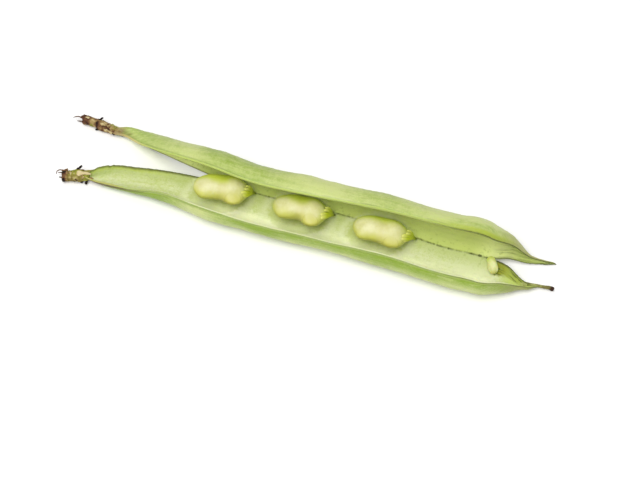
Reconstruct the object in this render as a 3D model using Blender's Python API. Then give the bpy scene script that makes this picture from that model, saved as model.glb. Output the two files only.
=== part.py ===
"""A broad bean pod, split open, with three beans on their stalks.

The two valves are still joined in the middle, along the seam that carries the beans, and
are torn apart at both ends. The pod lies on its front valve, which holds the beans. The
rear valve stands up behind it, and both of its free ends droop to the surface.

Metres, +Z up. +X runs along the pod from the stem end to the tip and -Y is the side of the
front valve. The origin is under the middle of the pod's box, on the surface it lies on.
Lengths below are in millimetres and become metres where a mesh is made.
"""

from math import cos, pi, sin

import bmesh
import bpy
import numpy as np
from mathutils import Matrix, Vector

MM = 0.001

# Driving dimensions
STEM_SPLIT = -35.0  # the valves are torn apart from here to the stem end
TIP_SPLIT = 67.0  # and from here to the tip
FRONT_ENDS = (-102.5, 86.0)
REAR_ENDS = (-100.5, 92.5)
WALL = 1.8  # the wall in the middle of a valve
RIM = 1.2  # the wall at its seams
THIN_CHORD = 14.0  # below this chord the wall gets thinner with it
LEAST_WALL = 0.5  # and keeps this share of its thickness
ORIGIN = (-13.0, 12.9)  # x and y that become the origin

# The seam that joins the valves: x, y, z
SEAM = [
    (-104, 3.0, 5.0), (-96, 9.0, 4.5), (-85, 12.0, 3.5), (-68, 14.0, 5.0), (-50, 14.5, 6.5),
    (-25, 15.0, 5.5), (0, 16.0, 5.5), (25, 15.5, 5.5), (50, 14.5, 4.5), (65, 14.8, 5.0),
    (75, 14.0, 4.8), (84, 9.8, 3.2), (90, 9.4, 2.4),
]
# How far the rear valve's torn edge has moved off that seam: x, back, up
SPREAD = [
    (-102, 22.2, -4.2), (-92, 16.3, -4.3), (-84, 13.1, -3.4), (-64, 5.8, -1.6),
    (STEM_SPLIT, 0, 0), (TIP_SPLIT, 0, 0), (76, 4.3, -1.2), (84, 9.8, -1.8), (93, 13.1, -1.9),
]
# A valve's section: x, chord from seam to rim, tilt of the chord, depth below the chord
FRONT = [
    (-104, 3.0, -10, 3.2), (-96, 9.5, 2, 4.8), (-85, 13.0, 12, 5.2), (-68, 16.0, 21, 8.0),
    (-50, 20.0, 22, 10.0), (-25, 21.0, 22, 9.3), (0, 21.0, 22, 9.3), (25, 20.5, 27, 10.2),
    (50, 20.5, 29, 9.8), (65, 20.5, 29, 10.2), (76, 13.9, 28, 8.0), (84, 4.2, 28, 2.5),
    (88, 2.4, 28, 1.2),
]
REAR = [
    (-102, 3.6, 124, 2.8), (-92, 6.5, 123, 5.3), (-85, 11.0, 121, 6.2), (-68, 17.5, 115, 7.5),
    (-50, 18.5, 109, 9.0), (-25, 20.0, 110, 9.5), (0, 20.5, 108, 9.5), (25, 20.0, 101, 9.5),
    (50, 20.5, 96, 10.0), (65, 19.5, 95, 10.5), (76, 12.5, 94, 6.0), (84, 4.8, 89, 1.9),
    (93, 1.2, 85, 0.8),
]
SWELL = 0.06  # the wall swells by this share of its depth over each bean
SWELL_LENGTH = 9.0

# Each bean: x of its middle, distance from the seam along the chord, height over the chord
# plane, turn towards the rim and roll, in degrees, and the depths of its lobe and its notch
BEANS = [
    (-46.1, 6.9, 2.9, 14, 10, 2.0, 0.6),
    (-12.0, 6.9, 2.9, 3, 8, 1.8, 1.2),
    (22.8, 7.0, 2.7, 7, 15, 0.9, 0.1),
]
BEAN_LENGTH = 23.0
# Half width on the seam's side and on the rim's side, at shares of the half length
BEAN_TOP = [(-1, 6.1), (-0.5, 5.7), (0, 5.7), (0.5, 6.1), (1, 5.6)]
BEAN_BOTTOM = [(-1, 5.1), (-0.6, 6.6), (-0.2, 6.0), (0.2, 6.0), (0.6, 7.1), (1, 4.8)]
BEAN_THICK = 4.8  # half thickness
LOBE_AT, LOBE_WIDTH = 0.5, 0.37
NOTCH_AT, NOTCH_WIDTH = 0.02, 0.2
BEAN_TAPER = 0.05  # the half thickness grows by this share towards the tip's end
BEAN_BEND = 0.8
BEAN_WAIST = 0.08  # dip across the middle, as a share of the thickness

# The stalk that holds each bean: its route from the head on the bean's end down to the seam,
# and its half width at shares of that length
STALK_ROUTES = [
    [(-36.9, 7.3, 13.6), (-34.8, 9.2, 12.3), (-33.3, 11.9, 9.3), (-32.4, 13.5, 7.3)],
    [(-2.6, 7.7, 13.4), (-0.6, 9.8, 11.9), (1.0, 12.3, 8.9), (2.1, 14.1, 6.6)],
    [(31.8, 7.8, 13.7), (34.0, 9.7, 12.0), (35.9, 12.0, 8.8), (37.3, 13.5, 6.5)],
]
STALK_PROFILE = [
    (0.0, 0.7), (0.07, 1.4), (0.2, 1.9), (0.36, 1.9), (0.52, 1.5), (0.68, 1.05), (0.84, 0.75),
    (1.0, 0.5),
]
STALK_UP = (0.6, -0.35, 0.75)
STALK_FLATNESS = 0.75
FINGERS = 8  # ridges round the stalk
FINGER_HEIGHT = 0.09  # as a share of the half width

SMALL_BEAN_ROUTE = [(68.3, 13.2, 6.7), (69.2, 12.0, 6.4), (70.2, 10.4, 5.4), (70.9, 8.6, 4.2)]
SMALL_BEAN_PROFILE = [
    (0.0, 0.35), (0.15, 0.8), (0.38, 1.3), (0.62, 1.65), (0.82, 1.45), (0.94, 0.95), (1.0, 0.4),
]
SMALL_BEAN_UP = (0, -0.6, 0.8)
SMALL_BEAN_FLATNESS = 0.7

# The dried ends: a knobbly core round a route, whose far end is hollow, with teeth and loose
# fibres fused to it. Each of those lists its points and its half thickness at both ends
KNOB_HEIGHT = 0.13  # as a share of the core's half width
FRONT_CORE_ROUTE = [(-103.3, 2.5, 3.0), (-107.2, 1.3, 3.0), (-111.2, 0.0, 3.0), (-114.3, -0.9, 3.0)]
FRONT_CORE_PROFILE = [
    (0.0, 1.4), (0.05, 1.75), (0.17, 1.9), (0.3, 2.3), (0.44, 2.55), (0.58, 2.45), (0.72, 2.2),
    (0.86, 2.3), (1.0, 2.1), (0.97, 1.5), (0.8, 1.1), (0.75, 0.5),
]
FRONT_LOOSE = [
    ([(-109.3, 2.1, 4.4), (-108.6, 3.3, 5.0), (-107.2, 4.7, 5.8)], 0.6, 0.35),
    ([(-106.4, 0.9, 1.9), (-106.0, 0.1, 1.3), (-106.0, -0.8, 0.9)], 0.6, 0.35),
    ([(-104.6, 1.6, 2.2), (-103.9, 0.2, 1.6), (-104.1, -0.9, 0.9)], 0.6, 0.35),
    ([(-112.9, 0.7, 4.0), (-115.4, 0.6, 4.6), (-116.6, -0.4, 4.6), (-116.5, -1.7, 4.1)], 0.5, 0.35),
    ([(-112.8, -0.3, 3.0), (-115.0, 0.1, 3.4), (-116.4, -0.4, 3.5)], 0.5, 0.35),
    ([(-112.8, -1.5, 2.6), (-114.4, -1.6, 2.4), (-115.6, -1.6, 2.2)], 0.5, 0.35),
]
REAR_CORE_ROUTE = [
    (-101.1, 27.1, 2.8), (-103.3, 27.5, 2.7), (-107.3, 28.2, 2.6), (-111.3, 28.7, 2.5),
    (-115.2, 29.0, 2.4), (-117.2, 28.8, 2.4),
]
REAR_CORE_PROFILE = [
    (0.0, 1.4), (0.03, 1.8), (0.15, 1.85), (0.3, 1.9), (0.42, 2.1), (0.52, 2.15), (0.62, 1.9),
    (0.75, 1.85), (0.88, 1.9), (1.0, 1.55), (0.97, 1.05), (0.88, 0.8), (0.85, 0.4),
]
REAR_LOOSE = [
    ([(-109.6, 29.3, 3.8), (-109.1, 30.2, 4.6), (-108.3, 30.7, 5.1)], 0.6, 0.35),
    ([(-109.5, 27.5, 1.6), (-109.9, 26.8, 1.1), (-110.9, 26.5, 0.8)], 0.6, 0.35),
    ([(-115.6, 29.1, 3.0), (-118.0, 29.0, 3.3), (-119.8, 29.2, 3.0), (-121.9, 28.3, 2.5)], 0.5, 0.35),
    ([(-115.8, 28.1, 1.8), (-117.9, 28.2, 1.5), (-120.1, 28.0, 1.2)], 0.5, 0.35),
]
STYLE = [
    (86.4, 9.3, 2.2), (88.4, 9.9, 2.2), (92.4, 10.5, 2.0), (94.4, 10.9, 1.7), (95.9, 10.9, 1.3),
]
STYLE_ENDS = (0.65, 0.85)

GAP = 0.35  # between pieces that touch
STEPS_STEM, STEPS_MIDDLE, STEPS_TIP = 17, 24, 9
STEPS_ROUND = 13
STALK_SIDES, CORE_SIDES = 24, 16
TUBE_STEPS = 4  # from one of a tube's own points to the next
FLOOR_BOX = (260, 90, 10)

GREEN = (0.45, 0.60, 0.16)
BEAN_CREAM = (0.78, 0.78, 0.42)
STALK_GREEN = (0.45, 0.55, 0.07)
SMALL_BEAN_YELLOW = (0.78, 0.76, 0.35)
BROWN = (0.20, 0.12, 0.06)
OLIVE = (0.24, 0.22, 0.09)


def smooth(x, knots):
    """The values at x of a smooth curve through (x, value) knots, which never overshoots them."""
    knots = np.asarray(knots, float)
    at, value = knots[:, 0], knots[:, 1]
    gap = np.diff(at)
    slope = np.diff(value) / gap
    tangent = np.concatenate([slope[:1], np.zeros(len(at) - 2), slope[-1:]])
    for i in range(1, len(at) - 1):
        before, after = slope[i - 1], slope[i]
        mean = (before * gap[i] + after * gap[i - 1]) / (gap[i] + gap[i - 1])
        most = abs(mean) if before * after < 0 else 3 * min(abs(before), abs(after))
        tangent[i] = np.clip(mean, -most, most)
    x = np.clip(np.asarray(x, float), at[0], at[-1])
    i = np.clip(np.searchsorted(at, x) - 1, 0, len(at) - 2)
    s = (x - at[i]) / gap[i]
    return (
        (2 * s**3 - 3 * s**2 + 1) * value[i]
        + (s**3 - 2 * s**2 + s) * gap[i] * tangent[i]
        + (3 * s**2 - 2 * s**3) * value[i + 1]
        + (s**3 - s**2) * gap[i] * tangent[i + 1]
    )


def column(table, n):
    return [(row[0], row[n]) for row in table]


def seam(x, valve):
    """Y and z of the valve's edge along the seam, torn or joined."""
    y, z = smooth(x, column(SEAM, 1)), smooth(x, column(SEAM, 2))
    if valve == "rear":
        y = y + smooth(x, column(SPREAD, 1))
        z = z + smooth(x, column(SPREAD, 2))
    return np.stack([y, z], -1)


def axes(x, valve):
    """Chord, depth, and the unit directions along the chord and out of the wall, in y and z."""
    table = FRONT if valve == "front" else REAR
    chord, depth = smooth(x, column(table, 1)), smooth(x, column(table, 3))
    for bean in BEANS:
        depth = depth * (1 + SWELL * np.exp(-(((x - bean[0]) / SWELL_LENGTH) ** 2)))
    tilt = np.radians(smooth(x, column(table, 2)))
    if valve == "front":
        along = np.stack([-np.cos(tilt), np.sin(tilt)], -1)
        out = np.stack([-np.sin(tilt), -np.cos(tilt)], -1)
    else:
        along = np.stack([np.cos(tilt), np.sin(tilt)], -1)
        out = np.stack([np.sin(tilt), -np.cos(tilt)], -1)
    return chord, depth, along, out


def outer(x, t, valve):
    """Points of the skin at each x and each t, from 0 at the seam to 1 at the rim."""
    chord, depth, along, out = axes(x, valve)
    across = (1 - np.cos(pi * t)) / 2
    down = np.sin(pi * t) ** (1 + (1 - t) ** 3)
    return (
        seam(x, valve)[:, None]
        + (chord[:, None] * across)[..., None] * along[:, None]
        + (depth[:, None] * down)[..., None] * out[:, None]
    )


def inward(x, t, valve):
    """Unit directions from the skin into the pod, in y and z. Both valves share the seam's."""
    small = 1e-4
    before = outer(x, np.clip(t - small, 0.02, 1 - small), valve)
    tangent = outer(x, np.clip(t + small, 0.02 + small, 1), valve) - before
    normal = np.stack([tangent[..., 1], -tangent[..., 0]], -1)
    normal /= np.linalg.norm(normal, axis=-1, keepdims=True)
    return normal if valve == "front" else -normal


def walls(x, t, valve):
    """The skin and the lining of a valve, as two grids of points."""
    skin = outer(x, t, valve)
    normal = inward(x, t, valve)
    shared = inward(x, t[:1], "front") + inward(x, t[:1], "rear")
    shared /= np.linalg.norm(shared, axis=-1, keepdims=True)
    near_seam = np.exp(-((t / 0.12) ** 2))[None, :, None]
    normal = normal * (1 - near_seam) + shared * near_seam
    normal /= np.linalg.norm(normal, axis=-1, keepdims=True)
    thin = np.clip(axes(x, valve)[0] / THIN_CHORD, LEAST_WALL, 1)[:, None]
    thick = (RIM + (WALL - RIM) * np.sin(pi * t)) * thin
    lining = skin + thick[..., None] * normal
    xs = np.broadcast_to(x[:, None, None], skin.shape[:2] + (1,))
    return np.concatenate([xs, skin], -1), np.concatenate([xs, lining], -1)


def stations(valve):
    """The x of each section. Where the valves are joined, both have the same ones."""
    first, last = FRONT_ENDS if valve == "front" else REAR_ENDS
    return np.concatenate([
        np.linspace(first, STEM_SPLIT, STEPS_STEM, endpoint=False),
        np.linspace(STEM_SPLIT, TIP_SPLIT, STEPS_MIDDLE, endpoint=False),
        np.linspace(TIP_SPLIT, last, STEPS_TIP + 1),
    ])


def clear_scene():
    for thing in list(bpy.data.objects):
        bpy.data.objects.remove(thing)


def new_collection(name):
    collection = bpy.data.collections.new(name)
    bpy.context.scene.collection.children.link(collection)
    return collection


def material(name, colour, roughness):
    made = bpy.data.materials.new(name)
    made.use_nodes = True
    shader = made.node_tree.nodes["Principled BSDF"]
    shader.inputs["Base Color"].default_value = (*colour, 1)
    shader.inputs["Roughness"].default_value = roughness
    shader.inputs["Metallic"].default_value = 0
    return made


def add_object(name, mesh, collection, finish=None):
    thing = bpy.data.objects.new(name, mesh)
    collection.objects.link(thing)
    thing.location = (-ORIGIN[0] * MM, -ORIGIN[1] * MM, 0)
    if finish:
        mesh.materials.append(finish)
        mesh.shade_smooth()
    return thing


def mesh_from(bm, name):
    """The bmesh, in millimetres, as a mesh in metres."""
    bmesh.ops.scale(bm, vec=(MM, MM, MM), verts=bm.verts)
    mesh = bpy.data.meshes.new(name)
    bm.to_mesh(mesh)
    bm.free()
    return mesh


def pod_shell(collection, cutters, finish):
    """Both valves as one wall: a skin and a lining, closed along the rims and the torn edges."""
    bm = bmesh.new()
    t = np.linspace(0, 1, STEPS_ROUND)
    joined = {}
    lining_of = {}
    linings = []
    for valve in ("front", "rear"):
        x = stations(valve)
        grids = []
        for grid in walls(x, t, valve):
            rows = [[None] * len(t) for _ in x]
            for i, row in enumerate(grid):
                for j, point in enumerate(row):
                    shared = j == 0 and STEM_SPLIT <= x[i] <= TIP_SPLIT
                    key = (len(grids), round(float(x[i]), 3))
                    if shared and key in joined:
                        rows[i][j] = joined[key]
                        continue
                    rows[i][j] = bm.verts.new(point)
                    if shared:
                        joined[key] = rows[i][j]
            grids.append(rows)
        for skin_row, lining_row in zip(*grids):
            lining_of.update(zip(skin_row, lining_row))
        for i in range(len(x) - 1):
            for j in range(len(t) - 1):
                corners = [(i, j), (i + 1, j), (i + 1, j + 1), (i, j + 1)]
                bm.faces.new([grids[0][a][b] for a, b in corners])
                linings.append([grids[1][a][b] for a, b in reversed(corners)])
    edges = [edge.verts for edge in bm.edges if edge.is_boundary]
    for corners in linings:
        bm.faces.new(corners)
    for a, b in edges:
        bm.faces.new([a, b, lining_of[b], lining_of[a]])
    bmesh.ops.recalc_face_normals(bm, faces=bm.faces)
    shell = add_object("pod_shell", mesh_from(bm, "pod_shell"), collection, finish)

    bm = bmesh.new()
    bmesh.ops.create_cube(bm, size=1, matrix=Matrix.Diagonal((*FLOOR_BOX, 1)))
    bmesh.ops.translate(bm, verts=bm.verts, vec=(*ORIGIN, -FLOOR_BOX[2] / 2))
    floor = add_object("floor_cutter", mesh_from(bm, "floor_cutter"), cutters)
    floor.hide_render = True
    floor.display_type = "WIRE"
    flats = shell.modifiers.new("resting_flats", "BOOLEAN")
    flats.operation = "DIFFERENCE"
    flats.object = floor
    return shell


def bean_frame(bean):
    """The bean's place: +X towards the tip, +Y towards the seam, +Z out of the front valve."""
    x, from_seam, height, turn, roll = bean[:5]
    step = 5.0
    at = seam(np.array([x - step, x, x + step]), "front")
    tip_way = Vector((2 * step, *(at[2] - at[0]))).normalized()
    along = Vector((0, *axes(np.array([x]), "front")[2][0]))
    along = (along - along.dot(tip_way) * tip_way).normalized()
    up = along.cross(tip_way)
    place = Vector((x, *at[1])) + from_seam * along + height * up
    basis = Matrix((tip_way, -along, up)).transposed().to_4x4()
    turned = Matrix.Rotation(np.radians(turn), 4, "Z") @ Matrix.Rotation(np.radians(roll), 4, "X")
    return Matrix.Translation(place) @ basis @ turned


def bean_form(bean, point, grow=0.0):
    """Where a point of the unit sphere, with its poles along X, goes on the bean."""
    x, y, z = point
    round_end = max(y * y + z * z, 1e-9) ** -0.1
    y, z = y * round_end, z * round_end
    width = smooth(x, BEAN_TOP if y > 0 else BEAN_BOTTOM)
    if y < 0:
        lobe, notch = bean[5:]
        width += lobe * np.exp(-(((x - LOBE_AT) / LOBE_WIDTH) ** 2))
        width -= notch * np.exp(-(((x - NOTCH_AT) / NOTCH_WIDTH) ** 2))
    waist = 1 - BEAN_WAIST * np.exp(-(((x - 0.05) / 0.28) ** 2)) * max(z, 0)
    return Vector((
        (BEAN_LENGTH / 2 + grow) * x,
        y * (width + grow) - BEAN_BEND * x * x,
        z * (BEAN_THICK * (1 + BEAN_TAPER * x) * waist + grow),
    ))


def bean_mesh(name, bean, grow=0.0):
    frame = bean_frame(bean)
    bm = bmesh.new()
    bmesh.ops.create_uvsphere(
        bm, u_segments=20, v_segments=14, radius=1, matrix=Matrix.Rotation(pi / 2, 4, "Y")
    )
    for vert in bm.verts:
        vert.co = frame @ bean_form(bean, vert.co, grow)
    bmesh.ops.recalc_face_normals(bm, faces=bm.faces)
    return mesh_from(bm, name)


def along_route(route, share):
    """Places on a smooth curve through the route's points, at shares of its length."""
    points = np.array(route, float)
    reach = np.concatenate([[0], np.cumsum(np.linalg.norm(np.diff(points, axis=0), axis=1))])
    knots = [np.stack([reach / reach[-1], points[:, k]], -1) for k in range(3)]
    return np.stack([smooth(share, knot) for knot in knots], -1)


def swept_mesh(name, route, profile, sides, up, flatness=1.0, relief=None):
    """A body round a route, closed by a point at both ends. The profile may turn back inside."""
    share, half = np.array(profile).T
    centre = along_route(route, share)
    step = 0.05
    tangent = along_route(route, share + step) - along_route(route, share - step)
    side = np.cross(tangent, up)
    side /= np.linalg.norm(side, axis=1, keepdims=True)
    over = np.cross(side, tangent)
    over /= np.linalg.norm(over, axis=1, keepdims=True)
    bm = bmesh.new()
    rings = []
    for i in range(len(profile)):
        ring = []
        for turn in np.arange(sides) * 2 * pi / sides:
            reach = half[i] * (relief(share[i], turn) if relief else 1)
            offset = reach * (cos(turn) * side[i] + flatness * sin(turn) * over[i])
            ring.append(bm.verts.new(centre[i] + offset))
        rings.append(ring)
    for one, other in zip(rings, rings[1:]):
        for k in range(sides):
            n = (k + 1) % sides
            bm.faces.new([one[k], one[n], other[n], other[k]])
    for ring, middle in ((rings[0], centre[0]), (rings[-1], centre[-1])):
        pole = bm.verts.new(middle)
        for k in range(sides):
            bm.faces.new([ring[k], ring[(k + 1) % sides], pole])
    bmesh.ops.recalc_face_normals(bm, faces=bm.faces)
    return mesh_from(bm, name)


def tube(name, points, first, last, collection, finish=None):
    """A round tube with closed ends, whose half thickness goes evenly from first to last."""
    count = TUBE_STEPS * (len(points) - 1) + 1
    share = np.linspace(0, 1, count)
    curve = bpy.data.curves.new(name, "CURVE")
    curve.dimensions = "3D"
    curve.bevel_depth = MM
    curve.bevel_resolution = 2
    curve.use_fill_caps = True
    spline = curve.splines.new("POLY")
    spline.points.add(count - 1)
    for point, place, part in zip(spline.points, along_route(points, share), share):
        point.co = (*(place * MM), 1)
        point.radius = first + (last - first) * part
    helper = bpy.data.objects.new(name, curve)
    collection.objects.link(helper)
    bpy.context.view_layer.update()
    graph = bpy.context.evaluated_depsgraph_get()
    mesh = bpy.data.meshes.new_from_object(helper.evaluated_get(graph))
    bpy.data.objects.remove(helper)
    bm = bmesh.new()
    bm.from_mesh(mesh)
    bmesh.ops.remove_doubles(bm, verts=bm.verts, dist=1e-6)
    bmesh.ops.recalc_face_normals(bm, faces=bm.faces)
    bm.to_mesh(mesh)
    bm.free()
    mesh.name = name
    return add_object(name, mesh, collection, finish)


def fuse(thing, pieces):
    """Joins the pieces in their collection to the thing, as one solid, and removes them."""
    union = thing.modifiers.new("fused", "BOOLEAN")
    union.operation = "UNION"
    union.operand_type = "COLLECTION"
    union.collection = pieces
    bpy.context.view_layer.update()
    graph = bpy.context.evaluated_depsgraph_get()
    whole = bpy.data.meshes.new_from_object(thing.evaluated_get(graph))
    thing.modifiers.clear()
    thing.data = whole
    for piece in list(pieces.objects):
        bpy.data.objects.remove(piece)
    bpy.data.collections.remove(pieces)


def stalk(number, bean, collection, cutters, finish):
    """The ridged stalk that holds a bean, with the bean's own form and a gap cut from it."""
    def fingers(share, turn):
        return 1 + FINGER_HEIGHT * cos(FINGERS * turn) * sin(pi * min(1, share + 0.25))

    name = f"funicle_{number}"
    mesh = swept_mesh(
        name, STALK_ROUTES[number - 1], STALK_PROFILE, STALK_SIDES, STALK_UP, STALK_FLATNESS, fingers
    )
    thing = add_object(name, mesh, collection, finish)
    cutter_name = f"bean_{number}_cutter"
    cutter = add_object(cutter_name, bean_mesh(cutter_name, bean, GAP), cutters)
    cutter.hide_render = True
    cutter.display_type = "WIRE"
    bed = thing.modifiers.new("bed_on_bean", "BOOLEAN")
    bed.operation = "DIFFERENCE"
    bed.object = cutter


def dried_end(name, route, profile, loose, collection, finish):
    """A knobbly core with a hollow end, and the teeth and fibres that stand off it."""
    def knobs(share, turn):
        return 1 + KNOB_HEIGHT * (
            0.5 * sin(3 * turn + 11 * share) + 0.5 * sin(5 * turn - 23 * share + 1)
        )

    mesh = swept_mesh(name, route, profile, CORE_SIDES, (0, 0, 1), relief=knobs)
    thing = add_object(name, mesh, collection, finish)
    pieces = new_collection("loose_pieces")
    for number, (points, first, last) in enumerate(loose):
        tube(f"{name}_loose_{number}", points, first, last, pieces)
    fuse(thing, pieces)


clear_scene()
pod = new_collection("broad_bean_pod")
cutters = new_collection("cutters")
pod_shell(pod, cutters, material("pod_green", GREEN, 0.45))
bean_finish = material("bean_cream", BEAN_CREAM, 0.35)
stalk_finish = material("stalk_green", STALK_GREEN, 0.4)
for number, bean in enumerate(BEANS, 1):
    name = f"bean_{number}"
    add_object(name, bean_mesh(name, bean), pod, bean_finish)
    stalk(number, bean, pod, cutters, stalk_finish)
small_bean = swept_mesh(
    "undeveloped_bean", SMALL_BEAN_ROUTE, SMALL_BEAN_PROFILE, CORE_SIDES, SMALL_BEAN_UP,
    SMALL_BEAN_FLATNESS,
)
add_object("undeveloped_bean", small_bean, pod, material("small_bean_yellow", SMALL_BEAN_YELLOW, 0.4))
dried_finish = material("dried_brown", BROWN, 0.8)
dried_end("calyx_front", FRONT_CORE_ROUTE, FRONT_CORE_PROFILE, FRONT_LOOSE, pod, dried_finish)
dried_end("calyx_rear", REAR_CORE_ROUTE, REAR_CORE_PROFILE, REAR_LOOSE, pod, dried_finish)
tube("style", STYLE, *STYLE_ENDS, pod, material("style_olive", OLIVE, 0.7))
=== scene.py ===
"""The looks of a broad bean pod that lies open on one valve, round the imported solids.

The shape tables and the functions of the first section give the solids' forms, in millimetres
and in their first frame, whose point ORIGIN becomes the origin. They become metres in the final
frame where a mesh is made. Along the pod, x runs from the stem end to the tip.
"""

from functools import reduce
from math import pi

import bmesh
import bpy
import numpy as np
from mathutils import Matrix, Vector
from mathutils.bvhtree import BVHTree


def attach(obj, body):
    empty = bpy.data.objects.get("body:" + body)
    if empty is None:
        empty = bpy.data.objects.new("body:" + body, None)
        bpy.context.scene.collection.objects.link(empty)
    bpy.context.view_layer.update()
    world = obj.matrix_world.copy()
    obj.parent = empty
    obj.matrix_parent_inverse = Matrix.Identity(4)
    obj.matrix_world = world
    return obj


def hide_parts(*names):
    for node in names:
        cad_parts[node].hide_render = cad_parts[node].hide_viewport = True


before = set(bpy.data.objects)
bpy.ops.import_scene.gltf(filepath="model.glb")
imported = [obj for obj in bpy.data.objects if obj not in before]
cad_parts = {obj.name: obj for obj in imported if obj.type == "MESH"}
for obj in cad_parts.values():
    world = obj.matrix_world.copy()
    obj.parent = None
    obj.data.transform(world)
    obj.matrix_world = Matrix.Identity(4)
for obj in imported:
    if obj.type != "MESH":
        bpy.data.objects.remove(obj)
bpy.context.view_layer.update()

MM = 0.001
ORIGIN = np.array([-13, 12.9, 0])

# The valves are joined between the splits. WALL is the thickness in the middle and RIM at the rim
STEM_SPLIT, TIP_SPLIT = -35, 67
WALL, RIM = 1.8, 1.2
THIN_CHORD, LEAST_WALL = 14, 0.5
# x, then the seam's y and z, or how far the rear valve's torn edge is from them
SEAM = [
    (-104, 3, 5), (-96, 9, 4.5), (-85, 12, 3.5), (-68, 14, 5), (-50, 14.5, 6.5),
    (-25, 15, 5.5), (0, 16, 5.5), (25, 15.5, 5.5), (50, 14.5, 4.5), (65, 14.8, 5),
    (75, 14, 4.8), (84, 9.8, 3.2), (90, 9.4, 2.4),
]
SPREAD = [
    (-102, 22.2, -4.2), (-92, 16.3, -4.3), (-84, 13.1, -3.4), (-64, 5.8, -1.6),
    (STEM_SPLIT, 0, 0), (TIP_SPLIT, 0, 0), (76, 4.3, -1.2), (84, 9.8, -1.8), (93, 13.1, -1.9),
]
# x, then the valve's chord from seam to rim, the chord's tilt in degrees, and the depth
FRONT = [
    (-104, 3, -10, 3.2), (-96, 9.5, 2, 4.8), (-85, 13, 12, 5.2), (-68, 16, 21, 8),
    (-50, 20, 22, 10), (-25, 21, 22, 9.3), (0, 21, 22, 9.3), (25, 20.5, 27, 10.2),
    (50, 20.5, 29, 9.8), (65, 20.5, 29, 10.2), (76, 13.9, 28, 8), (84, 4.2, 28, 2.5),
    (88, 2.4, 28, 1.2),
]
REAR = [
    (-102, 3.6, 124, 2.8), (-92, 6.5, 123, 5.3), (-85, 11, 121, 6.2), (-68, 17.5, 115, 7.5),
    (-50, 18.5, 109, 9), (-25, 20, 110, 9.5), (0, 20.5, 108, 9.5), (25, 20, 101, 9.5),
    (50, 20.5, 96, 10), (65, 19.5, 95, 10.5), (76, 12.5, 94, 6), (84, 4.8, 89, 1.9),
    (93, 1.2, 85, 0.8),
]
SWELL, SWELL_LENGTH = 0.06, 9

# x, distance from the seam, height, turn and roll in degrees, and how far lobe and notch go
BEANS = [
    (-46.1, 6.9, 2.9, 14, 10, 2, 0.6),
    (-12, 6.9, 2.9, 3, 8, 1.8, 1.2),
    (22.8, 7, 2.7, 7, 15, 0.9, 0.1),
]
BEAN_LENGTH, BEAN_THICK = 23, 4.8
BEAN_TOP = [(-1, 6.1), (-0.5, 5.7), (0, 5.7), (0.5, 6.1), (1, 5.6)]
BEAN_BOTTOM = [(-1, 5.1), (-0.6, 6.6), (-0.2, 6), (0.2, 6), (0.6, 7.1), (1, 4.8)]
LOBE_AT, LOBE_WIDTH = 0.5, 0.37
NOTCH_AT, NOTCH_WIDTH = 0.02, 0.2
BEAN_TAPER, BEAN_BEND = 0.05, 0.8
BEAN_WAIST, WAIST_AT, WAIST_WIDTH = 0.08, 0.05, 0.28

STALK_ROUTES = [
    [(-36.9, 7.3, 13.6), (-34.8, 9.2, 12.3), (-33.3, 11.9, 9.3), (-32.4, 13.5, 7.3)],
    [(-2.6, 7.7, 13.4), (-0.6, 9.8, 11.9), (1, 12.3, 8.9), (2.1, 14.1, 6.6)],
    [(31.8, 7.8, 13.7), (34, 9.7, 12), (35.9, 12, 8.8), (37.3, 13.5, 6.5)],
]
STALK_UP = (0.6, -0.35, 0.75)
SMALL_BEAN_ROUTE = [(67.8, 14.3, 6.8), (68.9, 12.7, 6.5), (70.2, 10.7, 5.5), (71, 8.6, 4.3)]
SMALL_BEAN_PROFILE = [
    (0, 1), (0.1, 1.5), (0.3, 1.75), (0.6, 2.1), (0.82, 1.95), (0.95, 1.3), (1, 0.55),
]
SMALL_BEAN_UP, SMALL_BEAN_FLATNESS = (0, -0.6, 0.8), 0.7

UP = (0, 0, 1)
# Routes and profiles, whose rows are the share of the length and the half thickness there
FRONT_ROUTE = [(-103.3, 2.5, 3), (-107.2, 1.3, 3), (-111.2, 0, 3), (-114.3, -0.9, 3)]
FRONT_PROFILE = [
    (0, 1.4), (0.05, 1.75), (0.17, 1.9), (0.3, 2.3), (0.44, 2.55), (0.58, 2.45), (0.72, 2.2),
    (0.86, 2.3), (1, 2.1), (0.97, 1.5), (0.8, 1.1), (0.75, 0.5),
]
REAR_ROUTE = [
    (-101.1, 27.1, 2.8), (-103.3, 27.5, 2.7), (-107.3, 28.2, 2.6), (-111.3, 28.7, 2.5),
    (-115.2, 29, 2.4), (-117.2, 28.8, 2.4),
]
REAR_PROFILE = [
    (0, 1.4), (0.03, 1.8), (0.15, 1.85), (0.3, 1.9), (0.42, 2.1), (0.52, 2.15), (0.62, 1.9),
    (0.75, 1.85), (0.88, 1.9), (1, 1.55), (0.97, 1.05), (0.88, 0.8), (0.85, 0.4),
]
STYLE_ROUTE = [
    (82.5, 8.4, 2.3), (85.4, 9.1, 2.3), (88.4, 9.9, 2.2), (92.4, 10.5, 2), (94.4, 10.9, 1.7),
    (95.9, 10.9, 1.3),
]
STYLE_PROFILE = [
    (0, 0.9), (0.08, 1.25), (0.2, 1), (0.36, 0.74), (0.6, 0.62), (0.82, 0.7), (0.96, 0.85),
    (1, 0.78), (0.99, 0.55), (0.92, 0.3),
]
# Each core's route, profile, points round it, seed and how green it is
FRONT_CORE = (FRONT_ROUTE, FRONT_PROFILE, 56, 100, 0.4)
REAR_CORE = (REAR_ROUTE, REAR_PROFILE, 52, 200, 0)


# The forms that the looks share with the solids


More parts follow.
